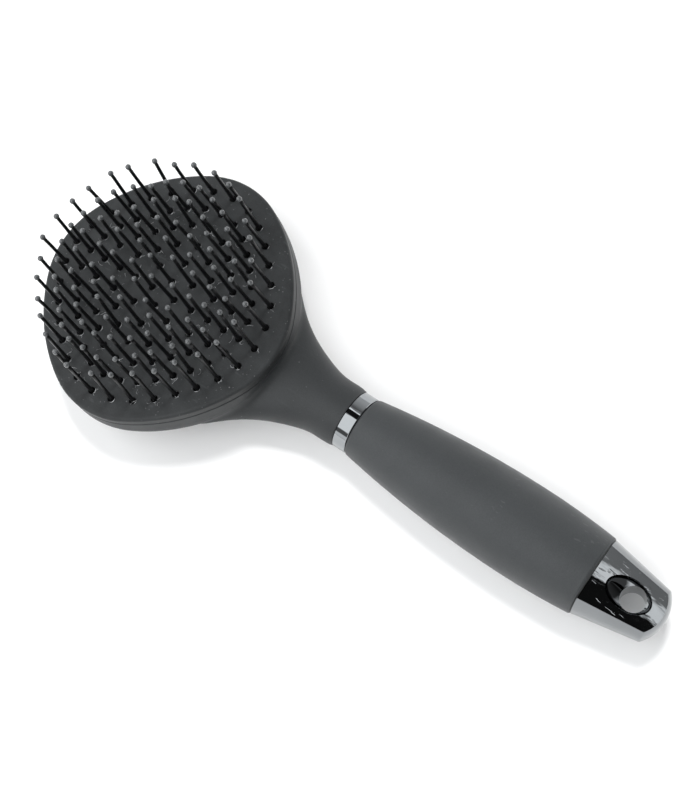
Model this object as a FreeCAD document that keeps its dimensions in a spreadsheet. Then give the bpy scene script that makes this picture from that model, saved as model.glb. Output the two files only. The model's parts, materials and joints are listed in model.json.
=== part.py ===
"""Bristle brush for pets: a paddle head with ball-tipped pins, a ferrule, a grip and a chrome end cap.

Row frame: +X runs along the grip from the head to the hanging hole, +Z is up and is the
side the pins are on. The brush lies on its back. The origin is the middle of its footprint,
on the surface it lies on. Millimetres.
"""
import math
import os

import FreeCAD
import Part
import Sketcher

V = FreeCAD.Vector
X, Y, Z = V(1, 0, 0), V(0, 1, 0), V(0, 0, 1)

SIZES = {
    # where the grip's axis and the head's face lie
    "axis_height": 14.4,
    "face_centre_run": -69.8,
    "face_centre_height": 21.84,
    "face_tilt": 10.0,
    "pin_pattern_run": -0.95,
    # head outline: four tight arcs centred on the axes, four wide arcs between them
    "axis_arc_radius": 30.3,
    "axis_arc_centre": 13.6,
    "side_arc_radius": 61.0,
    # head, measured down from the face
    "head_depth": 19.4,
    "crown_radius": 180.0,
    "crown_edge_radius": 8.0,
    "parting_depth": 3.5,
    "parting_gap": 0.1,
    "parting_chamfer": 0.3,
    "shell_wall": 3.5,
    "shell_floor": 2.6,
    # face plate
    "plate_thickness": 2.0,
    "plate_skirt": 2.2,
    "plate_edge_radius": 1.1,
    "pin_hole_radius": 1.2,
    # cushion under the face
    "pad_thickness": 1.4,
    "pad_hole_radius": 0.72,
    "pad_inset": 2.3,
    "foam_drop": 4.9,
    "foam_inset": 3.6,
    "cushion_gap": 0.1,
    # pins
    "pin_base_radius": 0.7,
    "pin_shaft_radius": 0.59,
    "pin_taper_height": 7.0,
    "bead_height": 18.2,
    "bead_radius": 0.92,
    "foot_radius": 1.6,
    "foot_top": 3.8,
    "foot_bottom": 4.6,
    # neck, from the ferrule towards the head
    "neck_radius": 9.6,
    "neck_flare_radius": 50.0,
    "neck_blend_radius": 3.0,
    # tang inside the grip
    "tang_radius": 5.0,
    "tang_length": 70.0,
    "pilot_radius": 1.72,
    "pilot_depth": 16.0,
    # ferrule ring
    "ring_start": 0.05,
    "ring_end": 4.6,
    "ring_radius": 9.6,
    "ring_bore": 5.05,
    "ring_chamfer": 0.25,
    # rigid core under the soft sleeve
    "core_start": 4.65,
    "core_end": 88.25,
    "core_radius": 7.5,
    "core_bore": 5.05,
    "core_counterbore": 5.7,
    "core_shoulder": 69.0,
    "spigot_radius": 7.2,
    "spigot_end": 92.15,
    # soft sleeve
    "sleeve_start": 4.7,
    "sleeve_end": 88.2,
    "sleeve_apex": 62.0,
    "sleeve_radius": 14.4,
    "sleeve_front_arc": 353.0,
    "sleeve_back_arc": 242.0,
    "sleeve_bore": 7.55,
    "sleeve_edge_radius": 1.1,
    # end cap
    "cap_start": 88.3,
    "cap_radius": 12.7,
    "cap_shoulder": 109.3,
    "cap_shoulder_radius": 8.8,
    "cap_end": 112.7,
    "cap_corner_radius": 1.2,
    "cap_socket_radius": 7.25,
    "cap_socket_end": 92.25,
    "facet_height_start": 8.7,
    "facet_height_shoulder": 5.8,
    "hang_hole_run": 101.6,
    "hang_hole_radius": 4.0,
    "dish_run": 100.0,
    "dish_height": 7.0,
    "dish_tilt": 8.2,
    "dish_half_length": 7.5,
    "dish_half_width": 4.9,
    "dish_depth": 3.4,
    # screw and washer on the end of the tang
    "washer_radius": 5.6,
    "washer_bore": 1.9,
    "washer_start": 70.05,
    "washer_end": 71.05,
    "screw_tip": 55.0,
    "screw_shank_radius": 1.7,
    "screw_head_start": 71.1,
    "screw_head_end": 73.5,
    "screw_head_radius": 3.2,
    "recess_width": 0.9,
    "recess_length": 3.6,
    "recess_depth": 1.4,
}

# concentric pin rings, inner to outer: count, mean radius, and how far the ring
# swells on the axes and draws in on the diagonals
RINGS = (
    (4, 4.6, 0.0),
    (8, 10.8, 0.95),
    (16, 17.25, 1.35),
    (24, 23.8, 1.35),
    (32, 30.0, 1.35),
    (32, 36.3, 1.35),
)

# neck stations: distance from the ferrule, height of the top and of the bottom about the axis
NECK = (
    (0.0, 9.6, 9.6),
    (7.0, 9.35, 9.6),
    (15.0, 8.9, 9.5),
    (23.0, 8.3, 9.2),
    (30.0, 8.0, 8.7),
    (36.0, 8.0, 7.9),
)

# the neck's root inside the head: the same, with the half width after the distance
NECK_ROOTS = (
    (46.0, 23.5, 5.4, 7.1),
    (58.0, 15.0, 2.5, 6.0),
)

doc = FreeCAD.newDocument("bristle_brush")
sheet = doc.addObject("Spreadsheet::Sheet", "sizes")
for line, (alias, value) in enumerate(SIZES.items(), start=1):
    sheet.set("A%d" % line, alias)
    sheet.set("B%d" % line, str(value))
    sheet.setAlias("B%d" % line, alias)
doc.recompute()


def size(alias):
    return float(sheet.get(alias))


def head_frame():
    """Placement of the head: local Z stands out of the face, local X points to the grip."""
    base = V(size("face_centre_run"), 0, size("face_centre_height"))
    return FreeCAD.Placement(base, FreeCAD.Rotation(-Y, size("face_tilt")))


def in_head(item):
    item.Placement = head_frame()
    item.setExpression("Placement.Base.x", "sizes.face_centre_run")
    item.setExpression("Placement.Base.z", "sizes.face_centre_height")
    item.setExpression("Placement.Rotation.Angle", "sizes.face_tilt")


def on_axis(item):
    item.setExpression("Placement.Base.z", "sizes.axis_height")


def body(name):
    made = doc.addObject("PartDesign::Body", name)
    made.Label = name
    return made


def sketch_on(owner, name, role="XY_Plane", offset=None):
    made = owner.newObject("Sketcher::SketchObject", name)
    plane = next(f for f in owner.Origin.OriginFeatures if f.Role == role)
    made.AttachmentSupport = [(plane, "")]
    made.MapMode = "FlatFace"
    if offset:
        made.setExpression("AttachmentOffset.Base.z", offset)
    return made


def bind(sketch, constraint, expression):
    index = sketch.addConstraint(constraint)
    sketch.setExpression("Constraints[%d]" % index, expression)


def outline(sketch, inset="0"):
    """Closed head outline of eight arcs, drawn inwards by inset."""
    cut = float(sheet.get(inset)) if inset != "0" else 0.0
    inset_term = "sizes." + inset if inset != "0" else "0"
    tight = size("axis_arc_radius") - cut
    wide = size("side_arc_radius") - cut
    shift = size("axis_arc_centre")
    back = (size("side_arc_radius") - size("axis_arc_radius")) / math.sqrt(2)
    lean = math.asin((shift / math.sqrt(2)) / (back * math.sqrt(2)))
    side_shift = math.sqrt(2) * back * math.cos(lean) - shift / math.sqrt(2)
    for k in range(4):
        turn = k * math.pi / 2
        centre = V(shift * math.cos(turn), shift * math.sin(turn), 0)
        reach = math.pi / 4 - lean
        arc = Part.ArcOfCircle(Part.Circle(centre, Z, tight), turn - reach, turn + reach)
        sketch.addGeometry(arc, False)
        turn += math.pi / 4
        centre = V(-side_shift * math.cos(turn), -side_shift * math.sin(turn), 0)
        arc = Part.ArcOfCircle(Part.Circle(centre, Z, wide), turn - lean, turn + lean)
        sketch.addGeometry(arc, False)
    for k in range(8):
        sketch.addConstraint(Sketcher.Constraint("Tangent", k, 2, (k + 1) % 8, 1))
    for k in range(4):
        first = 2 * k
        bind(sketch, Sketcher.Constraint("Radius", first, tight), "sizes.axis_arc_radius - " + inset_term)
        bind(sketch, Sketcher.Constraint("Radius", first + 1, wide), "sizes.side_arc_radius - " + inset_term)
        line = -1 if k % 2 == 0 else -2
        along = "DistanceX" if k % 2 == 0 else "DistanceY"
        sketch.addConstraint(Sketcher.Constraint("PointOnObject", first, 3, line))
        ends = (-1, 1, first, 3) if k < 2 else (first, 3, -1, 1)
        bind(sketch, Sketcher.Constraint(along, *ends, shift), "sizes.axis_arc_centre")


def ring_point(ring, step):
    """Place of one pin, from the middle of the pin pattern."""
    count, mean, swell = ring
    angle = 2 * math.pi * step / count
    radius = mean + swell * math.cos(4 * angle)
    return V(radius * math.cos(angle), radius * math.sin(angle), 0)


def polygon(sketch, points):
    for k, point in enumerate(points):
        sketch.addGeometry(Part.LineSegment(point, points[(k + 1) % len(points)]), False)
    for k in range(len(points)):
        sketch.addConstraint(Sketcher.Constraint("Coincident", k, 2, (k + 1) % len(points), 1))


def steps(sketch, corners):
    """Closed profile of level and upright lines; each corner is a pair of bound distances."""
    points = [V(size(run), size(rise) if rise else 0, 0) for run, rise in corners]
    polygon(sketch, points)
    for k, (run, rise) in enumerate(corners):
        bind(sketch, Sketcher.Constraint("DistanceX", -1, 1, k, 1, points[k].x), "sizes." + run)
        if rise:
            bind(sketch, Sketcher.Constraint("DistanceY", -1, 1, k, 1, points[k].y), "sizes." + rise)
        else:
            sketch.addConstraint(Sketcher.Constraint("PointOnObject", k, 1, -1))


def pad_down(owner, name, profile, length):
    made = owner.newObject("PartDesign::Pad", name)
    made.Profile = profile
    made.Reversed = True
    made.setExpression("Length", length)
    return made


def revolve(owner, name, profile, kind="PartDesign::Revolution"):
    made = owner.newObject(kind, name)
    made.Profile = profile
    made.ReferenceAxis = (profile, ["H_Axis"])
    made.Angle = 360
    return made


def turned(name, corners):
    """Body of revolution about the grip's axis from a stepped profile."""
    made = body(name)
    profile = sketch_on(made, name + "_profile", "XZ_Plane")
    steps(profile, corners)
    revolve(made, name + "_turn", profile)
    on_axis(made)
    return made


def edges_where(shape, test):
    return ["Edge%d" % n for n, edge in enumerate(shape.Edges, start=1) if test(edge)]


def circle_radius(edge):
    """Radius of a round edge, and 0 for any other, a pole included."""
    if edge.Length < 1e-6 or not hasattr(edge.Curve, "Radius"):
        return 0.0
    return edge.Curve.Radius


def dress(owner, name, kind, base, edges, radius):
    made = owner.newObject(kind, name)
    made.Base = (base, edges)
    made.setExpression("Radius" if kind.endswith("Fillet") else "Size", radius)
    return made


def drill_quarters(owner, name, radius, before):
    """Through holes at every pin: one quarter of them, patterned four times."""
    profile = sketch_on(owner, name + "_profile", "XY_Plane")
    profile.setExpression("AttachmentOffset.Base.x", "sizes.pin_pattern_run")
    for ring in RINGS:
        for step in range(ring[0] // 4):
            index = profile.addGeometry(Part.Circle(ring_point(ring, step), Z, size(radius)), False)
            bind(profile, Sketcher.Constraint("Radius", index, size(radius)), "sizes." + radius)
    cut = owner.newObject("PartDesign::Pocket", name)
    cut.Profile = profile
    cut.Type = 1
    cut.Midplane = True
    pattern = owner.newObject("PartDesign::PolarPattern", name + "_pattern")
    pattern.Originals = [cut]
    pattern.Axis = (profile, ["N_Axis"])
    pattern.Angle = 360
    pattern.Occurrences = 4
    owner.Tip = pattern
    doc.recompute()
    if not pattern.Shape.Volume < before:
        raise RuntimeError(name + " removed nothing")


def crown_cut(owner, name, radius, depth):
    """Groove that rounds the underside to a sphere centred on the head's own axis."""
    profile = sketch_on(owner, name + "_profile", "XZ_Plane")
    ball, low, out = size_of(radius), size_of(depth), 70.0
    rise = ball - math.sqrt(ball ** 2 - out ** 2)
    centre = V(0, ball - low, 0)
    sweep = math.asin(out / ball)
    start = -math.pi / 2
    profile.addGeometry(Part.ArcOfCircle(Part.Circle(centre, Z, ball), start, start + sweep), False)
    corners = [V(out, rise - low, 0), V(out, -low - 8, 0), V(0, -low - 8, 0), V(0, -low, 0)]
    for first, second in zip(corners, corners[1:]):
        profile.addGeometry(Part.LineSegment(first, second), False)
    for k in range(4):
        profile.addConstraint(Sketcher.Constraint("Coincident", k, 2, (k + 1) % 4, 1))
    bind(profile, Sketcher.Constraint("Radius", 0, ball), radius)
    profile.addConstraint(Sketcher.Constraint("PointOnObject", 0, 3, -2))
    bind(profile, Sketcher.Constraint("DistanceY", 0, 1, -1, 1, low), depth)
    profile.addConstraint(Sketcher.Constraint("PointOnObject", 0, 1, -2))
    cut = owner.newObject("PartDesign::Groove", name)
    cut.Profile = profile
    cut.ReferenceAxis = (profile, ["V_Axis"])
    cut.Angle = 360
    return cut


def size_of(expression):
    """Value of a sum of sheet names such as 'sizes.a - sizes.b'."""
    total, sign = 0.0, 1
    for word in expression.split():
        if word in "+-":
            sign = 1 if word == "+" else -1
        else:
            total += sign * size(word.replace("sizes.", ""))
    return total


def crowned(name, inset, top, radius, depth):
    """Block with the head's outline, its underside rounded to the crown's sphere."""
    made = body(name)
    profile = sketch_on(made, name + "_outline", "XY_Plane", "-sizes." + top)
    outline(profile, inset)
    pad_down(made, name + "_block", profile, "sizes.head_depth")
    crown_cut(made, name + "_crown", radius, depth)
    in_head(made)
    doc.recompute()
    return made


def head_blank():
    made = crowned("head_blank", "0", "parting_depth", "sizes.crown_radius", "sizes.head_depth")
    groove = made.Tip
    low = -size("parting_depth") - 1
    under = edges_where(groove.Shape, lambda e: all(v.Z < low for v in e.Vertexes) and len(e.Vertexes) == 2
                        and abs(e.Vertexes[0].Z - e.Vertexes[1].Z) < 2.5)
    soft = dress(made, "head_soft_edge", "PartDesign::Fillet", groove, under, "sizes.crown_edge_radius")
    doc.recompute()
    top = -size("parting_depth")
    rim = edges_where(soft.Shape, lambda e: all(abs(v.Z - top) < 1e-6 for v in e.Vertexes))
    dress(made, "head_parting_chamfer", "PartDesign::Chamfer", soft, rim, "sizes.parting_chamfer")
    doc.recompute()
    return made


def neck_half_width(run):
    flare = size("neck_flare_radius")
    return size("neck_radius") + flare - math.sqrt(flare ** 2 - run ** 2)


def neck_loft():
    """Flaring neck: ellipses across the grip's axis, joined by one smooth loft."""
    stations = [(run, neck_half_width(run), top, low) for run, top, low in NECK] + list(NECK_ROOTS)
    rings = []
    for k, (run, wide, top, low) in enumerate(stations):
        ring = doc.addObject("Part::Ellipse", "neck_station_%d" % k)
        tall = (top + low) / 2
        ring.MajorRadius = max(wide, tall)
        ring.MinorRadius = min(wide, tall)
        turn = FreeCAD.Rotation(Y, Z, -X, "YXZ") if wide >= tall else FreeCAD.Rotation(Z, -Y, -X, "YXZ")
        ring.Placement = FreeCAD.Placement(V(-run, 0, size("axis_height") + (top - low) / 2), turn)
        ring.setExpression("Placement.Base.z", "sizes.axis_height + %g" % ((top - low) / 2))
        if 0 < run < NECK_ROOTS[0][0]:
            flare = "sizes.neck_radius + sizes.neck_flare_radius - sqrt(sizes.neck_flare_radius^2 - %g)"
            ring.setExpression("MajorRadius", flare % (run ** 2))
        rings.append(ring)
    loft = doc.addObject("Part::Loft", "neck_loft")
    loft.Sections = rings
    loft.Solid = True
    loft.Ruled = False
    doc.recompute()
    return loft


def tang():
    made = body("tang")
    profile = sketch_on(made, "tang_profile", "XZ_Plane")
    length, radius = size("tang_length"), size("tang_radius")
    polygon(profile, [V(-20, 0, 0), V(length, 0, 0), V(length, radius, 0), V(-20, radius, 0)])
    bind(profile, Sketcher.Constraint("DistanceX", -1, 1, 1, 1, length), "sizes.tang_length")
    bind(profile, Sketcher.Constraint("DistanceY", -1, 1, 2, 1, radius), "sizes.tang_radius")
    revolve(made, "tang_turn", profile)
    on_axis(made)
    return made


def cylinder_along_axis(name, radius, start, length):
    made = doc.addObject("Part::Cylinder", name)
    made.Placement = FreeCAD.Placement(V(0, 0, size("axis_height")), FreeCAD.Rotation(Z, X))
    made.setExpression("Radius", radius)
    made.setExpression("Height", length)
    made.setExpression("Placement.Base.x", start)
    made.setExpression("Placement.Base.z", "sizes.axis_height")
    return made


def boolean(kind, name, base, tool):
    made = doc.addObject("Part::" + kind, name)
    made.Base = base
    made.Tool = tool
    doc.recompute()
    return made


def shared_edges(joined, first, second):
    """Numbers of the joined solid's edges that lie on a face of each of the two solids."""
    found = []
    for number, edge in enumerate(joined.Edges, start=1):
        if not 1e-6 < edge.Length < size("neck_flare_radius"):
            continue
        spot = Part.Vertex(edge.valueAt((edge.FirstParameter + edge.LastParameter) / 2))
        gaps = [min(spot.distToShape(face)[0] for face in solid.Faces) for solid in (first, second)]
        if max(gaps) < 1e-3:
            found.append(number)
    return found


def body_shell():
    """Head tray, flaring neck and tang: one moulding."""
    head, neck = head_blank(), neck_loft()
    sharp = boolean("Fuse", "head_and_neck", head, neck)
    outer = doc.addObject("Part::Fillet", "blended_head_and_neck")
    outer.Base = sharp
    blend = size("neck_blend_radius")
    outer.Edges = [(number, blend, blend) for number in shared_edges(sharp.Shape, head.Shape, neck.Shape)]
    doc.recompute()
    cavity = crowned("cushion_space", "shell_wall", "plate_thickness",
                     "sizes.crown_radius - sizes.shell_floor", "sizes.head_depth - sizes.shell_floor")
    tray = boolean("Cut", "tray", outer, cavity)
    stem = boolean("Fuse", "tray_and_tang", tray, tang())
    pilot = cylinder_along_axis("pilot_hole", "sizes.pilot_radius",
                                "sizes.tang_length - sizes.pilot_depth", "sizes.pilot_depth + 1")
    made = boolean("Cut", "body_shell", stem, pilot)
    return made


def face_plate():
    made = body("face_plate")
    profile = sketch_on(made, "plate_outline")
    outline(profile)
    block = pad_down(made, "plate_block", profile, "sizes.parting_depth - sizes.parting_gap")
    doc.recompute()
    top = edges_where(block.Shape, lambda e: all(abs(v.Z) < 1e-6 for v in e.Vertexes))
    soft = dress(made, "plate_soft_edge", "PartDesign::Fillet", block, top, "sizes.plate_edge_radius")
    doc.recompute()
    low = size("parting_gap") - size("parting_depth")
    rim = edges_where(soft.Shape, lambda e: all(abs(v.Z - low) < 1e-6 for v in e.Vertexes))
    dress(made, "plate_parting_chamfer", "PartDesign::Chamfer", soft, rim, "sizes.parting_chamfer")
    under = sketch_on(made, "plate_recess_outline", "XY_Plane", "-sizes.plate_thickness")
    outline(under, "plate_skirt")
    recess = made.newObject("PartDesign::Pocket", "plate_recess")
    recess.Profile = under
    recess.setExpression("Length", "sizes.parting_depth")
    doc.recompute()
    drill_quarters(made, "pin_clearance", "pin_hole_radius", recess.Shape.Volume)
    in_head(made)
    return made


def pin_pad():
    made = body("pin_pad")
    profile = sketch_on(made, "pad_outline", "XY_Plane", "-sizes.plate_thickness - sizes.parting_gap")
    outline(profile, "pad_inset")
    sheet_of_rubber = pad_down(made, "pad_sheet", profile, "sizes.pad_thickness")
    doc.recompute()
    drill_quarters(made, "pin_grip", "pad_hole_radius", sheet_of_rubber.Shape.Volume)
    in_head(made)
    return made


def foam_cushion():
    sheet_names = "sizes.crown_radius - sizes.shell_floor - sizes.cushion_gap"
    depth_names = "sizes.head_depth - sizes.shell_floor - sizes.cushion_gap"
    return crowned("foam_cushion", "foam_inset", "foam_drop", sheet_names, depth_names)


def pin_blank():
    """One pin in the head's frame, standing at the centre: foot, tapered base and shaft."""
    base, shaft = size("pin_base_radius"), size("pin_shaft_radius")
    bead = size("bead_radius")
    end = size("bead_height") - math.sqrt(bead ** 2 - shaft ** 2)
    foot, under, over = size("foot_radius"), -size("foot_bottom"), -size("foot_top")
    profile = [V(0, 0, under), V(foot, 0, under), V(foot, 0, over), V(base, 0, over), V(base, 0, 0.2),
               V(shaft, 0, size("pin_taper_height")), V(shaft, 0, end), V(0, 0, end), V(0, 0, under)]
    return Part.Face(Part.makePolygon(profile)).revolve(V(), Z, 360)


def bead_blank():
    """One ball tip, its underside cut flat where it sits on the shaft."""
    ball = Part.makeSphere(size("bead_radius"), V(0, 0, size("bead_height")))
    seat = size("bead_height") - math.sqrt(size("bead_radius") ** 2 - size("pin_shaft_radius") ** 2)
    stub = Part.makeCylinder(size("bead_radius"), 2, V(0, 0, seat - 2))
    return ball.cut(stub)


def ring_of(name, blank, ring):
    """Copies of one blank at every place in a ring, as separate solids."""
    copies = []
    for step in range(ring[0]):
        copy = blank.copy()
        copy.translate(ring_point(ring, step) + V(size("pin_pattern_run"), 0, 0))
        copies.append(copy)
    made = doc.addObject("Part::Feature", name)
    made.Label = name
    made.Shape = Part.makeCompound(copies)
    in_head(made)
    return made


def ferrule_ring():
    made = turned("ferrule_ring", [("ring_start", "ring_bore"), ("ring_end", "ring_bore"),
                                   ("ring_end", "ring_radius"), ("ring_start", "ring_radius")])
    doc.recompute()
    outer = size("ring_radius")
    rims = edges_where(made.Tip.Shape, lambda e: abs(circle_radius(e) - outer) < 1e-6)
    dress(made, "ring_chamfer_cut", "PartDesign::Chamfer", made.Tip, rims, "sizes.ring_chamfer")
    return made


def grip_core():
    return turned("grip_core", [
        ("core_start", "core_bore"), ("core_shoulder", "core_bore"), ("core_shoulder", "core_counterbore"),
        ("spigot_end", "core_counterbore"), ("spigot_end", "spigot_radius"), ("core_end", "spigot_radius"),
        ("core_end", "core_radius"), ("core_start", "core_radius")])


def sleeve_arc(apex, radius, run):
    return apex - radius + math.sqrt(radius ** 2 - (run - size("sleeve_apex")) ** 2)


def grip_sleeve():
    """Barrel-shaped soft sleeve: two arcs that share a tangent at the widest place."""
    made = body("grip_sleeve")
    profile = sketch_on(made, "sleeve_profile", "XZ_Plane")
    apex, top = size("sleeve_apex"), size("sleeve_radius")
    front, back = size("sleeve_front_arc"), size("sleeve_back_arc")
    start, end, bore = size("sleeve_start"), size("sleeve_end"), size("sleeve_bore")
    swing_front = math.asin((apex - start) / front)
    swing_back = math.asin((end - apex) / back)
    up = math.pi / 2
    arcs = [Part.ArcOfCircle(Part.Circle(V(apex, top - back, 0), Z, back), up - swing_back, up),
            Part.ArcOfCircle(Part.Circle(V(apex, top - front, 0), Z, front), up, up + swing_front)]
    for arc in arcs:
        profile.addGeometry(arc, False)
    corners = [V(start, sleeve_arc(top, front, start), 0), V(start, bore, 0), V(end, bore, 0),
               V(end, sleeve_arc(top, back, end), 0)]
    for first, second in zip(corners, corners[1:]):
        profile.addGeometry(Part.LineSegment(first, second), False)
    for k in range(5):
        profile.addConstraint(Sketcher.Constraint("Coincident", k, 2, (k + 1) % 5, 1))
    bind(profile, Sketcher.Constraint("Radius", 0, back), "sizes.sleeve_back_arc")
    bind(profile, Sketcher.Constraint("Radius", 1, front), "sizes.sleeve_front_arc")
    bind(profile, Sketcher.Constraint("DistanceX", -1, 1, 0, 2, apex), "sizes.sleeve_apex")
    bind(profile, Sketcher.Constraint("DistanceY", -1, 1, 0, 2, top), "sizes.sleeve_radius")
    for arc in (0, 1):
        profile.addConstraint(Sketcher.Constraint("Vertical", arc, 3, 0, 2))
    profile.addConstraint(Sketcher.Constraint("Vertical", 2))
    profile.addConstraint(Sketcher.Constraint("Horizontal", 3))
    profile.addConstraint(Sketcher.Constraint("Vertical", 4))
    bind(profile, Sketcher.Constraint("DistanceX", -1, 1, 2, 2, start), "sizes.sleeve_start")
    bind(profile, Sketcher.Constraint("DistanceY", -1, 1, 2, 2, bore), "sizes.sleeve_bore")
    bind(profile, Sketcher.Constraint("DistanceX", -1, 1, 3, 2, end), "sizes.sleeve_end")
    turn = revolve(made, "sleeve_turn", profile)
    on_axis(made)
    doc.recompute()
    rims = edges_where(turn.Shape, lambda e: circle_radius(e) > bore + 1 and abs(e.CenterOfMass.x - apex) > 5)
    dress(made, "sleeve_soft_edge", "PartDesign::Fillet", turn, rims, "sizes.sleeve_edge_radius")
    return made


def cap_profile(made):
    """Tapered cap with a spherical nose and a socket for the core's spigot."""
    profile = sketch_on(made, "cap_profile", "XZ_Plane")
    start, wide = size("cap_start"), size("cap_radius")
    bend, narrow, end = size("cap_shoulder"), size("cap_shoulder_radius"), size("cap_end")
    socket, deep = size("cap_socket_radius"), size("cap_socket_end")
    nose = (narrow ** 2 + (end - bend) ** 2) / (2 * (end - bend))
    swing = math.asin(narrow / nose)
    profile.addGeometry(Part.ArcOfCircle(Part.Circle(V(end - nose, 0, 0), Z, nose), 0, swing), False)
    corners = [V(bend, narrow, 0), V(start, wide, 0), V(start, socket, 0), V(deep, socket, 0),
               V(deep, 0, 0), V(end, 0, 0)]
    for first, second in zip(corners, corners[1:]):
        profile.addGeometry(Part.LineSegment(first, second), False)
    for k in range(6):
        profile.addConstraint(Sketcher.Constraint("Coincident", k, 2, (k + 1) % 6, 1))
    profile.addConstraint(Sketcher.Constraint("PointOnObject", 0, 3, -1))
    for index, point, run, radius in ((1, 1, "cap_shoulder", "cap_shoulder_radius"),
                                      (1, 2, "cap_start", "cap_radius"),
                                      (2, 2, "cap_start", "cap_socket_radius"),
                                      (3, 2, "cap_socket_end", "cap_socket_radius")):
        for kind, alias in (("DistanceX", run), ("DistanceY", radius)):
            bind(profile, Sketcher.Constraint(kind, -1, 1, index, point, size(alias)), "sizes." + alias)
    bind(profile, Sketcher.Constraint("DistanceX", -1, 1, 5, 2, end), "sizes.cap_end")
    for index in (4, 5):
        profile.addConstraint(Sketcher.Constraint("PointOnObject", index, 2, -1))
    return revolve(made, "cap_turn", profile)


def cap_facets(made):
    """Two flats, above and below, that fall towards the nose."""
    profile = sketch_on(made, "facet_profile", "XZ_Plane")
    start, bend = size("cap_start"), size("cap_shoulder")
    high, low = size("facet_height_start"), size("facet_height_shoulder")
    slope = (low - high) / (bend - start)
    runs = (start - 2, bend + 8)
    for side in (1, -1):
        edge = [V(run, side * (high + slope * (run - start)), 0) for run in runs]
        far = [V(runs[1], side * 20, 0), V(runs[0], side * 20, 0)]
        for first, second in zip(edge + far, (edge + far)[1:] + edge[:1]):
            profile.addGeometry(Part.LineSegment(first, second), False)
    cut = made.newObject("PartDesign::Pocket", "cap_facets")
    cut.Profile = profile
    cut.Type = 1
    cut.Midplane = True
    return cut


def hang_hole_profile(made):
    """Circle for the hanging hole, centred on the grip's axis."""
    profile = sketch_on(made, "hang_hole_profile", "XY_Plane")
    run, radius = size("hang_hole_run"), size("hang_hole_radius")
    index = profile.addGeometry(Part.Circle(V(run, 0, 0), Z, radius), False)
    bind(profile, Sketcher.Constraint("Radius", index, radius), "sizes.hang_hole_radius")
    bind(profile, Sketcher.Constraint("DistanceX", -1, 1, index, 3, run), "sizes.hang_hole_run")
    profile.addConstraint(Sketcher.Constraint("PointOnObject", index, 3, -1))
    return profile


def cap_dish(made):
    """Oval dish in the upper flat, drawn out towards the sleeve, that the hanging hole opens into."""
    dish = made.newObject("PartDesign::SubtractiveEllipsoid", "hole_dish")
    dish.Placement = FreeCAD.Placement(V(size("dish_run"), 0, size("dish_height")),
                                       FreeCAD.Rotation(Y, size("dish_tilt")))
    dish.setExpression("Placement.Base.x", "sizes.dish_run")
    dish.setExpression("Placement.Base.z", "sizes.dish_height")
    dish.setExpression("Radius1", "sizes.dish_depth")
    dish.setExpression("Radius2", "sizes.dish_half_length")
    dish.setExpression("Radius3", "sizes.dish_half_width")


def end_cap():
    made = body("end_cap")
    turn = cap_profile(made)
    doc.recompute()
    corner = size("cap_shoulder_radius")
    rim = edges_where(turn.Shape, lambda e: abs(circle_radius(e) - corner) < 1e-3)
    dress(made, "cap_corner", "PartDesign::Fillet", turn, rim, "sizes.cap_corner_radius")
    cap_facets(made)
    hole = made.newObject("PartDesign::Pocket", "hang_hole")
    hole.Profile = hang_hole_profile(made)
    hole.Type = 1
    hole.Midplane = True
    doc.recompute()
    solid = made.Tip.Shape.Volume
    cap_dish(made)
    on_axis(made)
    doc.recompute()
    if not made.Tip.Shape.Volume < solid:
        raise RuntimeError("the dish removed nothing")
    return made


def tang_screw():
    made = turned("tang_screw", [
        ("screw_tip", None), ("screw_head_end", None), ("screw_head_end", "screw_head_radius"),
        ("screw_head_start", "screw_head_radius"), ("screw_head_start", "screw_shank_radius"),
        ("screw_tip", "screw_shank_radius")])
    cross = sketch_on(made, "recess_profile", "YZ_Plane", "sizes.screw_head_end")
    half, reach = size("recess_width") / 2, size("recess_length") / 2
    arms = [V(reach, half, 0), V(half, half, 0), V(half, reach, 0)]
    corners = []
    for k in range(4):
        turn = FreeCAD.Rotation(Z, 90 * k)
        corners += [turn.multVec(V(reach, -half, 0))] + [turn.multVec(p) for p in arms[:2]]
    polygon(cross, corners)
    recess = made.newObject("PartDesign::Pocket", "screw_recess")
    recess.Profile = cross
    recess.setExpression("Length", "sizes.recess_depth")
    return made


def tang_washer():
    return turned("tang_washer", [("washer_start", "washer_bore"), ("washer_end", "washer_bore"),
                                  ("washer_end", "washer_radius"), ("washer_start", "washer_radius")])


def build():
    nodes = [body_shell(), face_plate(), pin_pad(), foam_cushion(), ferrule_ring(), grip_core(),
             grip_sleeve(), end_cap(), tang_screw(), tang_washer()]
    pin, bead = pin_blank(), bead_blank()
    for number, ring in enumerate(RINGS, start=1):
        nodes.append(ring_of("pins_ring_%d" % number, pin, ring))
        nodes.append(ring_of("beads_ring_%d" % number, bead, ring))
    doc.recompute()
    return nodes


def check_and_export(nodes):
    for item in doc.Objects:
        if "Invalid" in item.State or "Error" in item.State:
            raise RuntimeError("%s is in state %s" % (item.Name, item.State))
    os.makedirs("parts", exist_ok=True)
    for node in nodes:
        if node.Shape.isNull() or not node.Shape.isValid():
            raise RuntimeError(node.Label + " has no valid shape")
        node.Shape.exportStep("parts/%s.step" % node.Label)
        box = node.Shape.BoundBox
        print("%-14s solids %3d volume %9.1f  x %.2f..%.2f y %.2f..%.2f z %.2f..%.2f" % (
            node.Label, len(node.Shape.Solids), node.Shape.Volume,
            box.XMin, box.XMax, box.YMin, box.YMax, box.ZMin, box.ZMax))


check_and_export(build())
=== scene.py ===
import bpy
import bmesh
import json
import math
import random
from mathutils import Matrix, Vector


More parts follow.
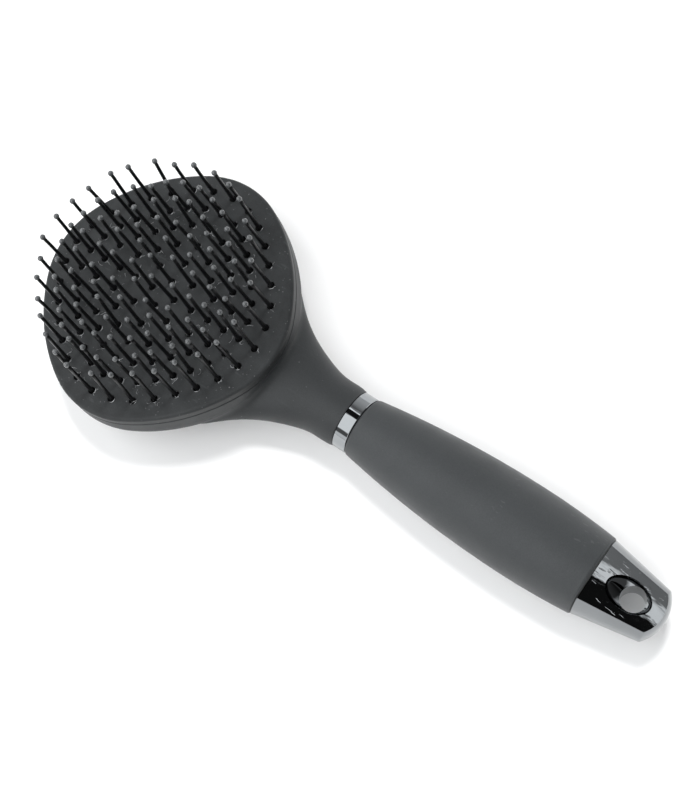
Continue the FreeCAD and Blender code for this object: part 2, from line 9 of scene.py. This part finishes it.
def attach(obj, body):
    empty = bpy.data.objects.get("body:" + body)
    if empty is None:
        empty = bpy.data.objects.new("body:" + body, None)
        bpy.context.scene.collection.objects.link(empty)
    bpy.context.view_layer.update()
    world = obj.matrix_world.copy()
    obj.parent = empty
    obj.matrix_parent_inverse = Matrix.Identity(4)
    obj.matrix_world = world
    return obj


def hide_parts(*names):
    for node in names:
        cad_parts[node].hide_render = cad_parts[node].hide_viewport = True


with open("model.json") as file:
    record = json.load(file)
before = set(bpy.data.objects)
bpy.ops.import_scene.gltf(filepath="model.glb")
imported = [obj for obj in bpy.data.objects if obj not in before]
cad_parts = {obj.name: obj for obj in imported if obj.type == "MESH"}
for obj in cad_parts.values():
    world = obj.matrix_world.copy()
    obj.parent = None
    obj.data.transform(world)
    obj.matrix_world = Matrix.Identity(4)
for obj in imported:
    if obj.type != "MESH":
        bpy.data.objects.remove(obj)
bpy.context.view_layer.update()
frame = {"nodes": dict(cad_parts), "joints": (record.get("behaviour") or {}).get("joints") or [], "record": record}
nodes = frame["nodes"]
MM = 0.001

# The head's frame: the face's normal, the directions across the head and to the grip, the
# face's middle, and the middle of the pin pattern, which lies a little away from the grip.
NORMAL = Vector(frame["joints"][0]["axis"]).normalized()
SIDE = Vector((0, 1, 0))
ALONG = SIDE.cross(NORMAL)
FACE = Vector((-69.8, 0, 21.84)) * MM
PATTERN_SHIFT = 0.95
PATTERN = FACE - PATTERN_SHIFT * MM * ALONG

# Pin rings, inner to outer: count, mean radius, swell on the axes (millimetres).
RINGS = (
    (4, 4.6, 0.0),
    (8, 10.8, 0.95),
    (16, 17.25, 1.35),
    (24, 23.8, 1.35),
    (32, 30.0, 1.35),
    (32, 36.3, 1.35),
)
# A pin's outline: height above the face and radius (millimetres).
PIN_OUTLINE = (
    (-4.6, 1.6), (-3.8, 1.6), (-3.75, 0.7), (0.4, 0.7), (2.6, 0.68), (4.8, 0.64), (7.0, 0.6),
    (9.0, 0.59), (11.5, 0.585), (14.0, 0.58), (17.6, 0.57),
)

# Heights above the face and radii, in millimetres: where a pin rocks, its ball tip, its hole.
PIVOT_HEIGHT = -2.8
BEAD_HEIGHT = 18.2
BEAD_RADIUS = 0.9
HOLE_RADIUS = 1.2

# How finely pins and ball tips are divided, and a ball tip's width and length as shares of a
# true ball's.
PIN_SIDES = 12
BEAD_SEGMENTS = 20
BEAD_RINGS = 12
BEAD_WIDTH = (0.95, 1.05)
BEAD_LENGTH = (1.06, 1.18)

# The pins' random lean and bend, in millimetres at the tip and halfway up, and the lean's pull per
# millimetre from the pattern's middle: inward, but outward in one patch of strayed pins.
SEED = 791
LEAN_SPREAD = 0.42
BEND_SPREAD = 0.07
INWARD_PULL = -0.016
STRAYED_PULL = 0.035
STRAYED_ALONG = (-33, -18)
STRAYED_SIDE = (12, 31)

# Lint: steps along a shred and sides round it, its lift off the face, the share of holes with a
# sliver on the rim, the choice of how many fibres a hole catches, and how many loose ones lie
# within reach of the pattern's middle. Lift, reach, lengths and radii are in millimetres.
LINT_STEPS = 6
LINT_SIDES = 5
LINT_LIFT = 0.05
SLIVER_SHARE = 0.85
SLIVER_RADIUS = (0.05, 0.11)
CAUGHT_COUNT = (0, 1, 2, 2, 3)
CAUGHT_LENGTH = (0.4, 1.9)
CAUGHT_RADIUS = (0.04, 0.09)
LOOSE_COUNT = 90
LOOSE_REACH = 37
LOOSE_LENGTH = (0.5, 2.8)
LOOSE_RADIUS = (0.025, 0.06)

# Sockets of a colour mix node: its two colours, and its result among the outputs.
MIX_FIRST = 6
MIX_SECOND = 7
MIX_RESULT = 2


# ---------------------------------------------------------------- node helpers

class Nodes:
    """Small builder for a node tree."""

    def __init__(self, tree):
        self.tree = tree

    def add(self, kind, **settings):
        node = self.tree.nodes.new(kind)
        for key, value in settings.items():
            setattr(node, key, value)
        return node

    def link(self, source, target):
        self.tree.links.new(source, target)

    def feed(self, value, socket):
        if isinstance(value, bpy.types.NodeSocket):
            self.link(value, socket)
        else:
            socket.default_value = value

    def ramp(self, value, low, high, out_low=0.0, out_high=1.0):
        node = self.add("ShaderNodeMapRange", clamp=True)
        self.link(value, node.inputs["Value"])
        limits = {"From Min": low, "From Max": high, "To Min": out_low, "To Max": out_high}
        for key, number in limits.items():
            node.inputs[key].default_value = number
        return node.outputs["Result"]

    def math(self, operation, *values):
        node = self.add("ShaderNodeMath", operation=operation)
        for value, socket in zip(values, node.inputs):
            self.feed(value, socket)
        return node.outputs["Value"]

    def axes(self, vector):
        """The X, Y and Z sockets of a vector."""
        node = self.add("ShaderNodeSeparateXYZ")
        self.link(vector, node.inputs["Vector"])
        return node.outputs


class Graph(Nodes):
    """Builder for a material's nodes, in the object's own coordinates."""

    def __init__(self, name):
        self.material = bpy.data.materials.new(name)
        self.material.use_nodes = True
        super().__init__(self.material.node_tree)
        self.shader = self.tree.nodes["Principled BSDF"]
        self.place = self.add("ShaderNodeTexCoord").outputs["Object"]

    def noise(self, scale, detail, rough=0.55, stretch=None):
        node = self.add("ShaderNodeTexNoise")
        node.inputs["Scale"].default_value = scale
        node.inputs["Detail"].default_value = detail
        node.inputs["Roughness"].default_value = rough
        self.link(self.stretched(stretch), node.inputs["Vector"])
        return node.outputs["Fac"]

    def cells(self, scale, output="Distance"):
        node = self.add("ShaderNodeTexVoronoi", feature="F1")
        node.inputs["Scale"].default_value = scale
        self.link(self.place, node.inputs["Vector"])
        return node.outputs[output]

    def stretched(self, scale):
        if scale is None:
            return self.place
        node = self.add("ShaderNodeMapping")
        node.inputs["Scale"].default_value = scale
        self.link(self.place, node.inputs["Vector"])
        return node.outputs["Vector"]

    def mix(self, factor, first, second):
        node = self.add("ShaderNodeMix", data_type="RGBA")
        self.link(factor, node.inputs["Factor"])
        for value, place in ((first, MIX_FIRST), (second, MIX_SECOND)):
            self.feed((*value, 1.0) if isinstance(value, tuple) else value, node.inputs[place])
        return node.outputs[MIX_RESULT]

    def bump(self, height, distance, strength, under=None):
        node = self.add("ShaderNodeBump")
        node.inputs["Strength"].default_value = strength
        node.inputs["Distance"].default_value = distance
        self.link(height, node.inputs["Height"])
        if under is not None:
            self.link(under, node.inputs["Normal"])
        return node.outputs["Normal"]

    def finish(self, colour, roughness, normal, **constants):
        """Connect the shader. A constant's name is its socket's, with _ for each space."""
        for source, key in ((colour, "Base Color"), (roughness, "Roughness"), (normal, "Normal")):
            self.link(source, self.shader.inputs[key])
        for key, value in constants.items():
            self.shader.inputs[key.replace("_", " ")].default_value = value
        return self.material


def dust(g, scale, share, size):
    """Mask of scattered specks: a few of the cells hold one small spot each."""
    spot = g.ramp(g.cells(scale), size, size * 0.6)
    pick = g.add("ShaderNodeSeparateColor")
    g.link(g.cells(scale, output="Color"), pick.inputs["Color"])
    return g.math("MULTIPLY", spot, g.ramp(pick.outputs["Red"], 1 - share, 1 - share + 0.02))


# ------------------------------------------------------------------- materials

def moulded_plastic(name, dark, light, dusty):
    """Matte moulded plastic with a fine spark-eroded grain, clouding, rubbed marks and dust."""
    g = Graph(name)
    cloud = g.math("ADD", g.noise(38, 4), g.math("MULTIPLY", g.noise(240, 5, 0.65), 0.9 * dusty))
    grain = g.noise(2600, 2)
    middle = 0.5 + 0.45 * dusty
    colour = g.mix(g.ramp(cloud, middle - 0.22, middle + 0.22), dark, light)
    colour = g.mix(g.ramp(grain, 0.35, 0.75, 0.0, 0.22), colour, tuple(1.7 * c for c in light))
    rubbed = g.ramp(g.noise(700, 1, stretch=(0.12, 1, 1)), 0.68, 0.74, 0.0, 0.3 * dusty)
    colour = g.mix(rubbed, colour, tuple(2.2 * c for c in light))
    specks = g.math("MAXIMUM", dust(g, 700, 0.035 * dusty, 0.18), dust(g, 1700, 0.06 * dusty, 0.28))
    colour = g.mix(g.math("MULTIPLY", specks, 0.45), colour, (0.24, 0.245, 0.25))
    rough = g.ramp(g.noise(120, 3), 0.3, 0.7, 0.44, 0.54)
    ripple = g.bump(g.noise(420, 2), 0.00003, 0.35)
    normal = g.bump(grain, 0.00002, 0.5, ripple)
    return g.finish(colour, rough, normal, Specular_IOR_Level=0.27)


def soft_touch_rubber():
    """Soft-touch sleeve: velvety, evenly grained, with faint rubbed marks and a few specks."""
    g = Graph("soft_touch_rubber")
    colour = g.mix(g.ramp(g.noise(30, 4), 0.3, 0.7), (0.035, 0.0377, 0.0393), (0.042, 0.0452, 0.0472))
    grain = g.noise(3200, 2)
    colour = g.mix(g.ramp(grain, 0.35, 0.75, 0.0, 0.2), colour, (0.085, 0.09, 0.093))
    marks = g.math("MULTIPLY", g.ramp(g.noise(1500, 0, stretch=(0.35, 1, 0.6)), 0.72, 0.76),
                   g.ramp(g.noise(60, 1), 0.58, 0.66))
    specks = dust(g, 900, 0.03, 0.16)
    colour = g.mix(g.math("MULTIPLY", g.math("MAXIMUM", marks, specks), 0.14), colour, (0.16, 0.166, 0.17))
    rough = g.ramp(g.noise(150, 3), 0.3, 0.7, 0.48, 0.6)
    normal = g.bump(grain, 0.00002, 0.6, g.bump(g.noise(160, 2), 0.00012, 0.18))
    return g.finish(colour, rough, normal, Specular_IOR_Level=0.3, Sheen_Weight=0.08, Sheen_Roughness=0.45)


def chrome(name, tone, wave, crown=0.0):
    """Plated chrome: nearly a mirror, faintly wavy along its length, with hairline scratches.

    The crown is how far its flats bulge across the brush, as one over the radius in metres.
    """
    g = Graph(name)
    tint = Vector((0.96, 1.0, 1.03))
    colour = g.mix(g.ramp(g.noise(90, 3), 0.35, 0.7), tuple(0.97 * tone * tint), tuple(1.05 * tone * tint))
    hair = g.ramp(g.noise(2400, 1, stretch=(0.06, 1, 1)), 0.62, 0.72)
    rough = g.ramp(g.math("ADD", g.noise(260, 3), g.math("MULTIPLY", hair, 0.4)), 0.3, 1.2, 0.012, 0.06)
    low = g.bump(g.noise(420, 1.5, stretch=(0.3, 1, 1)), 0.00006 * wave, 0.5)
    pits = g.bump(g.ramp(g.noise(650, 2, stretch=(0.22, 1, 1)), 0.6, 0.72), 0.00002 * wave, 0.8, low)
    normal = g.bump(g.noise(1500, 1, stretch=(0.3, 1, 1)), 0.000006 * wave, 0.4, pits)
    if crown:
        sag = g.math("MULTIPLY", g.math("POWER", g.axes(g.place)["Y"], 2.0), -0.5 * crown)
        normal = g.bump(sag, 1.0, 1.0, normal)
    return g.finish(colour, rough, normal, Metallic=1.0)


def pin_coating():
    """Glossy black dip on the pins, a little uneven."""
    g = Graph("pin_coating")
    colour = g.mix(g.ramp(g.noise(900, 2), 0.35, 0.7), (0.004, 0.004, 0.0043), (0.009, 0.0093, 0.0097))
    rough = g.ramp(g.noise(1400, 2), 0.3, 0.7, 0.24, 0.42)
    return g.finish(colour, rough, g.bump(g.noise(1100, 2), 0.00002, 0.5), Specular_IOR_Level=0.34)


def bead_dip():
    """Satin grey ball tips."""
    g = Graph("bead_dip")
    colour = g.mix(g.ramp(g.noise(1300, 2), 0.35, 0.7), (0.055, 0.058, 0.06), (0.1, 0.105, 0.109))
    rough = g.ramp(g.noise(1800, 2), 0.3, 0.7, 0.2, 0.3)
    return g.finish(colour, rough, g.bump(g.noise(2200, 2), 0.00002, 0.5), Specular_IOR_Level=0.9)


def pad_rubber():
    """Dull black rubber of the pad under the face."""
    g = Graph("pad_rubber")
    colour = g.mix(g.ramp(g.noise(300, 3), 0.3, 0.7), (0.006, 0.006, 0.0062), (0.012, 0.012, 0.0125))
    rough = g.ramp(g.noise(500, 2), 0.3, 0.7, 0.6, 0.75)
    return g.finish(colour, rough, g.bump(g.noise(1500, 2), 0.00003, 0.5))


def open_cell_foam():
    """Dark grey foam with open pores."""
    g = Graph("open_cell_foam")
    pores = g.cells(1400)
    colour = g.mix(g.ramp(pores, 0.1, 0.6), (0.03, 0.03, 0.032), (0.15, 0.15, 0.155))
    rough = g.ramp(g.noise(300, 2), 0.3, 0.7, 0.85, 0.95)
    return g.finish(colour, rough, g.bump(pores, 0.0002, 0.8))


def zinc_plate():
    """Zinc-plated steel, with a faint grain along the brush."""
    g = Graph("zinc_plate")
    colour = g.mix(g.ramp(g.noise(400, 4), 0.3, 0.7), (0.42, 0.43, 0.44), (0.58, 0.58, 0.57))
    rough = g.ramp(g.noise(900, 3, stretch=(0.1, 1, 1)), 0.3, 0.7, 0.25, 0.42)
    return g.finish(colour, rough, g.bump(g.noise(1800, 2), 0.00002, 0.4), Metallic=1.0)


def lint_fibre():
    """Lint, from mid to light grey."""
    g = Graph("lint_fibre")
    colour = g.mix(g.ramp(g.noise(700, 2), 0.35, 0.65), (0.16, 0.164, 0.168), (0.50, 0.51, 0.52))
    rough = g.ramp(g.noise(900, 2), 0.3, 0.7, 0.6, 0.8)
    return g.finish(colour, rough, g.bump(g.noise(2500, 2), 0.00003, 0.5))


def studio_floor():
    """White floor with a barely visible tooth."""
    g = Graph("studio_floor")
    colour = g.mix(g.ramp(g.noise(9, 3), 0.3, 0.7), (0.95, 0.95, 0.95), (0.96, 0.96, 0.96))
    rough = g.ramp(g.noise(60, 2), 0.3, 0.7, 0.82, 0.9)
    return g.finish(colour, rough, g.bump(g.noise(900, 2), 0.0001, 0.1), Specular_IOR_Level=0.1)


# ------------------------------------------------------------------ new pieces

def mesh_piece(name, build, material, body):
    """A new mesh object filled in by build, riding on a body and given a material."""
    bm = bmesh.new()
    build(bm)
    bmesh.ops.recalc_face_normals(bm, faces=bm.faces)
    mesh = bpy.data.meshes.new(name)
    bm.to_mesh(mesh)
    bm.free()
    for face in mesh.polygons:
        face.use_smooth = True
    mesh.materials.append(material)
    piece = bpy.data.objects.new(name, mesh)
    bpy.context.scene.collection.objects.link(piece)
    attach(piece, body)
    return piece


def across(direction):
    """Two unit vectors square to a direction."""
    first = direction.cross(SIDE if abs(direction.dot(SIDE)) < 0.9 else NORMAL).normalized()
    return first, direction.cross(first).normalized()


def tube(bm, path, radii, segments):
    """Round tube along a path, closed at both ends."""
    rings = []
    for k, (point, radius) in enumerate(zip(path, radii)):
        ahead = path[min(k + 1, len(path) - 1)] - path[max(k - 1, 0)]
        right, up = across(ahead.normalized())
        turns = [2 * math.pi * s / segments for s in range(segments)]
        rings.append([bm.verts.new(point + radius * (math.cos(a) * right + math.sin(a) * up)) for a in turns])
    for lower, upper in zip(rings, rings[1:]):
        for s in range(segments):
            t = (s + 1) % segments
            bm.faces.new((lower[s], lower[t], upper[t], upper[s]))
    bm.faces.new(rings[0][::-1])
    bm.faces.new(rings[-1])


def pin_place(ring, step):
    """In-plane position of a pin from the middle of the pattern, in metres."""
    count, mean, swell = ring
    angle = 2 * math.pi * step / count
    radius = (mean + swell * math.cos(4 * angle)) * MM
    return radius * math.cos(angle), radius * math.sin(angle)


def within(place, limits):
    """Whether a place in metres lies between two limits in millimetres."""
    return limits[0] * MM < place < limits[1] * MM


class Pin:
    """One pin: it rocks about the pad by a few degrees and is bent very slightly."""

    def __init__(self, ring, step, rng):
        along, side = pin_place(ring, step)
        self.foot = PATTERN + along * ALONG + side * SIDE
        strayed = within(along, STRAYED_ALONG) and within(side, STRAYED_SIDE)
        pull = (STRAYED_PULL if strayed else INWARD_PULL) / MM
        lean_along = rng.gauss(0, LEAN_SPREAD) + pull * along
        lean_side = rng.gauss(0, LEAN_SPREAD) + pull * side
        travel = BEAD_HEIGHT - PIVOT_HEIGHT
        self.lean = (lean_along * ALONG + lean_side * SIDE) / travel
        self.bend = (rng.gauss(0, BEND_SPREAD) * ALONG + rng.gauss(0, BEND_SPREAD) * SIDE) * MM

    def at(self, height):
        """Point on the pin's centre line at a height above the face, in millimetres."""
        rise = (height - PIVOT_HEIGHT) * MM
        share = max(0.0, height) / BEAD_HEIGHT
        bow = self.bend * math.sin(math.pi * share)
        return self.foot + NORMAL * height * MM + self.lean * rise + bow


def shaft_mesh(pins):
    """The shafts of a ring, with their feet."""
    def build(bm):
        for pin in pins:
            path = [pin.at(height) for height, _ in PIN_OUTLINE]
            tube(bm, path, [radius * MM for _, radius in PIN_OUTLINE], PIN_SIDES)
    return build


def bead_mesh(pins, rng):
    """The ball tips of a ring, each a little longer than wide."""
    def build(bm):
        for pin in pins:
            ball = bmesh.ops.create_uvsphere(
                bm, u_segments=BEAD_SEGMENTS, v_segments=BEAD_RINGS, radius=BEAD_RADIUS * MM)
            tilt = (pin.at(BEAD_HEIGHT) - pin.at(BEAD_HEIGHT - 2)).normalized()
            wide, deep, tall = (rng.uniform(*limits) for limits in (BEAD_WIDTH, BEAD_WIDTH, BEAD_LENGTH))
            stretch = Matrix.Diagonal((wide, deep, tall, 1))
            turn = tilt.to_track_quat("Z", "Y").to_matrix().to_4x4()
            move = Matrix.Translation(pin.at(BEAD_HEIGHT))
            bmesh.ops.transform(bm, matrix=move @ turn @ stretch, verts=ball["verts"])
    return build


def on_face(centre, along, side):
    """Point just above the face, offsets in millimetres."""
    return centre + (along * ALONG + side * SIDE + LINT_LIFT * NORMAL) * MM


def fibre_path(start, heading, length, rng, lift):
    """A limp fibre lying on the face, curling as it goes."""
    point, points = start.copy(), []
    curl = rng.uniform(-0.9, 0.9)
    step = length / LINT_STEPS
    for k in range(LINT_STEPS + 1):
        points.append(point.copy())
        heading += curl * 0.45 + rng.uniform(-0.3, 0.3)
        point = point + step * (math.cos(heading) * ALONG + math.sin(heading) * SIDE)
        point += NORMAL * lift * math.sin(math.pi * k / LINT_STEPS) * step
    return points


def rim_path(pin, middle, spread, rng):
    """A torn sliver that follows a hole's rim."""
    turns = [middle + spread * (2 * k / LINT_STEPS - 1) for k in range(LINT_STEPS + 1)]
    reaches = [HOLE_RADIUS + rng.uniform(0.0, 0.16) for _ in turns]
    return [on_face(pin.foot, r * math.cos(a), r * math.sin(a)) for a, r in zip(turns, reaches)]


def lint_mesh(pins, rng):
    """Pale shreds caught at the rims of the pin holes on the grip's side, and loose ones between."""
    steps = range(LINT_STEPS + 1)

    def build(bm):
        for pin in pins:
            middle = rng.gauss(-0.2, 0.45)
            if rng.random() < SLIVER_SHARE:
                radius = rng.uniform(*SLIVER_RADIUS) * MM
                path = rim_path(pin, middle, rng.uniform(0.35, 0.95), rng)
                radii = [radius * (0.35 + 0.65 * math.sin(math.pi * k / LINT_STEPS)) for k in steps]
                tube(bm, path, radii, LINT_SIDES)
            for _ in range(rng.choice(CAUGHT_COUNT)):
                angle = rng.gauss(middle, 0.6)
                start = on_face(pin.foot, HOLE_RADIUS * math.cos(angle), HOLE_RADIUS * math.sin(angle))
                length = rng.uniform(*CAUGHT_LENGTH) * MM
                path = fibre_path(start, angle + rng.gauss(0, 0.9), length, rng, rng.uniform(0.1, 0.8))
                radius = rng.uniform(*CAUGHT_RADIUS) * MM
                tube(bm, path, [radius * (1 - 0.1 * k) for k in steps], LINT_SIDES)
        for _ in range(LOOSE_COUNT):
            angle, reach = rng.uniform(0, 2 * math.pi), LOOSE_REACH * math.sqrt(rng.random())
            start = on_face(PATTERN, reach * math.cos(angle), reach * math.sin(angle))
            path = fibre_path(start, rng.uniform(0, 6.3), rng.uniform(*LOOSE_LENGTH) * MM, rng, 0.2)
            tube(bm, path, [rng.uniform(*LOOSE_RADIUS) * MM] * len(steps), LINT_SIDES)
    return build


def add_pins(materials):
    """The pins and ball tips of each ring on its own body, and the lint on the face."""
    rng = random.Random(SEED)
    everything = []
    for number, ring in enumerate(RINGS, start=1):
        pins = [Pin(ring, step, rng) for step in range(ring[0])]
        everything += pins
        body = "pin_ring_%d" % number
        shafts = mesh_piece("shafts_%d" % number, shaft_mesh(pins), materials["pin_shaft"], body)
        beads = mesh_piece("tips_%d" % number, bead_mesh(pins, rng), materials["pin_bead"], body)
        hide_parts("pins_ring_%d" % number)
        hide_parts("beads_ring_%d" % number)
    mesh_piece("lint", lint_mesh(everything, rng), lint_fibre(), "brush")


# ----------------------------------------------------------------- the CAD nodes

def dress_nodes(materials):
    """Give each CAD node that stays its material."""
    for entry in frame["record"]["subparts"]:
        node = nodes[entry["node"]]
        material = materials[entry["material_slot"]]
        if not node.material_slots:
            node.data.materials.append(material)
        for slot in node.material_slots:
            slot.material = material


# -------------------------------------------------------------- floor and lights

FLOOR_SIZE = 8.0


def studio():
    """The floor that the brush lies on."""
    bpy.ops.mesh.primitive_plane_add(size=FLOOR_SIZE, location=(0, 0, 0))
    floor = bpy.context.object
    floor.name = "floor"
    floor.data.materials.append(studio_floor())


def softbox(name, position, target, size, power):
    """Soft lamp that gives light but leaves no patch of its own in the chrome."""
    light = bpy.data.lights.new(name, "AREA")
    light.shape = "DISK"
    light.size = size
    light.energy = power
    lamp = bpy.data.objects.new(name, light)
    lamp.location = position
    lamp.rotation_euler = (Vector(target) - Vector(position)).to_track_quat("-Z", "Y").to_euler()
    lamp.visible_glossy = False
    bpy.context.scene.collection.objects.link(lamp)


# The lamps: name, place, target, size in metres and power in watts.
LAMPS = (
    ("key", (-0.35, 0.75, 2.1), (0, 0, 0.01), 0.5, 32),
    ("fill", (0.9, -0.9, 1.7), (0, 0, 0.01), 1.2, 7),
    ("near", (-0.24, -0.27, 0.2), (-0.09, -0.02, 0.02), 0.2, 0.3),
)

# The studio around the brush, by roll angle about its long axis in degrees from straight up
# towards +Y, and its level: on the -Y side a low strip, a dark gap and a wide softbox, then a
# dark strip overhead, a narrow bright one beside it, and grey card down the +Y side. The bands
# run slanted to the brush, and a dark card stands beyond the hanging hole's end: it fades in
# between two values of the direction's X.
STUDIO_ROLL = (
    (-90, 0.75), (-84, 0.75), (-82, 0.1), (-67, 0.1), (-65, 1.05), (-7, 1.05), (-5, 0.01), (14.2, 0.01),
    (14.4, 1.25), (17.5, 1.25), (17.9, 0.28), (23, 0.26), (28, 0.12), (42, 0.3), (65, 0.45), (90, 0.55),
)
STUDIO_LEVEL = 1.8
STUDIO_TINT = (0.985, 1.0, 1.01)
STUDIO_SLANT = math.radians(30)
CARD_FADE = (0.28, 0.45)
CARD_LEVEL = 0.08


def surroundings():
    """The studio as a world background, which the chrome reflects."""
    world = bpy.data.worlds.new("studio")
    world.use_nodes = True
    sky = Nodes(world.node_tree)
    direction = sky.axes(sky.add("ShaderNodeTexCoord").outputs["Generated"])
    roll = sky.math("ARCTAN2", direction["Y"], direction["Z"])
    slanted = sky.math("MULTIPLY_ADD", direction["X"], STUDIO_SLANT, roll)
    bands = sky.add("ShaderNodeValToRGB")
    sky.link(sky.ramp(slanted, -math.pi / 2, math.pi / 2), bands.inputs["Fac"])
    stops = bands.color_ramp.elements
    for place, (angle, level) in enumerate(STUDIO_ROLL):
        stop = stops[place] if place < 2 else stops.new(1.0)
        stop.position = (angle + 90) / 180
        stop.color = (*(level * tone for tone in STUDIO_TINT), 1)
    shaded = sky.add("ShaderNodeVectorMath", operation="SCALE")
    sky.link(bands.outputs["Color"], shaded.inputs[0])
    sky.link(sky.ramp(direction["X"], *CARD_FADE, 1.0, CARD_LEVEL), shaded.inputs["Scale"])
    background = sky.tree.nodes["Background"]
    sky.link(shaded.outputs["Vector"], background.inputs["Color"])
    background.inputs["Strength"].default_value = STUDIO_LEVEL
    bpy.context.scene.world = world


# The camera: where it stands, where its right, up and back point, its sensor's width and lens
# in millimetres, and the nearest distance that it draws in metres.
CAMERA_PLACE = Vector((134.55, -84.58, 537.45)) * MM
CAMERA_RIGHT = Vector((0.81345, 0.56978, -0.11703))
CAMERA_UP = Vector((-0.52442, 0.80543, 0.27625))
CAMERA_BACK = Vector((0.25165, -0.16334, 0.95394))
SENSOR_WIDTH = 36
LENS = 80.2
NEAREST = 0.01


def camera():
    """The camera at the photograph's viewing angle."""
    data = bpy.data.cameras.new("camera")
    data.sensor_width = SENSOR_WIDTH
    data.lens = LENS
    data.clip_start = NEAREST
    data.dof.use_dof = False
    seat = bpy.data.objects.new("camera", data)
    turn = Matrix((CAMERA_RIGHT, CAMERA_UP, CAMERA_BACK)).transposed().to_4x4()
    seat.matrix_world = Matrix.Translation(CAMERA_PLACE) @ turn
    bpy.context.scene.collection.objects.link(seat)
    bpy.context.scene.camera = seat


def finishes():
    """The material of each slot in the record."""
    shell = moulded_plastic("shell_plastic", (0.025, 0.0267, 0.0277), (0.031, 0.033, 0.0343), 0.3)
    face = moulded_plastic("face_plastic", (0.0165, 0.0176, 0.0182), (0.0275, 0.0293, 0.0304), 1.0)
    zinc = zinc_plate()
    return {
        "shell_plastic": shell,
        "core_plastic": shell,
        "face_plastic": face,
        "pad_rubber": pad_rubber(),
        "foam": open_cell_foam(),
        "ferrule_chrome": chrome("ferrule_chrome", 0.3, 0.25),
        "cap_chrome": chrome("cap_chrome", 0.215, 0.8, 5.0),
        "sleeve_rubber": soft_touch_rubber(),
        "screw_steel": zinc,
        "washer_steel": zinc,
        "pin_shaft": pin_coating(),
        "pin_bead": bead_dip(),
    }


def main():
    """Dress the CAD nodes, add the new pieces, and set up the studio and the camera."""
    materials = finishes()
    dress_nodes(materials)
    add_pins(materials)
    studio()
    surroundings()
    for lamp in LAMPS:
        softbox(*lamp)
    camera()
    bpy.context.scene.view_settings.view_transform = "Standard"


main()
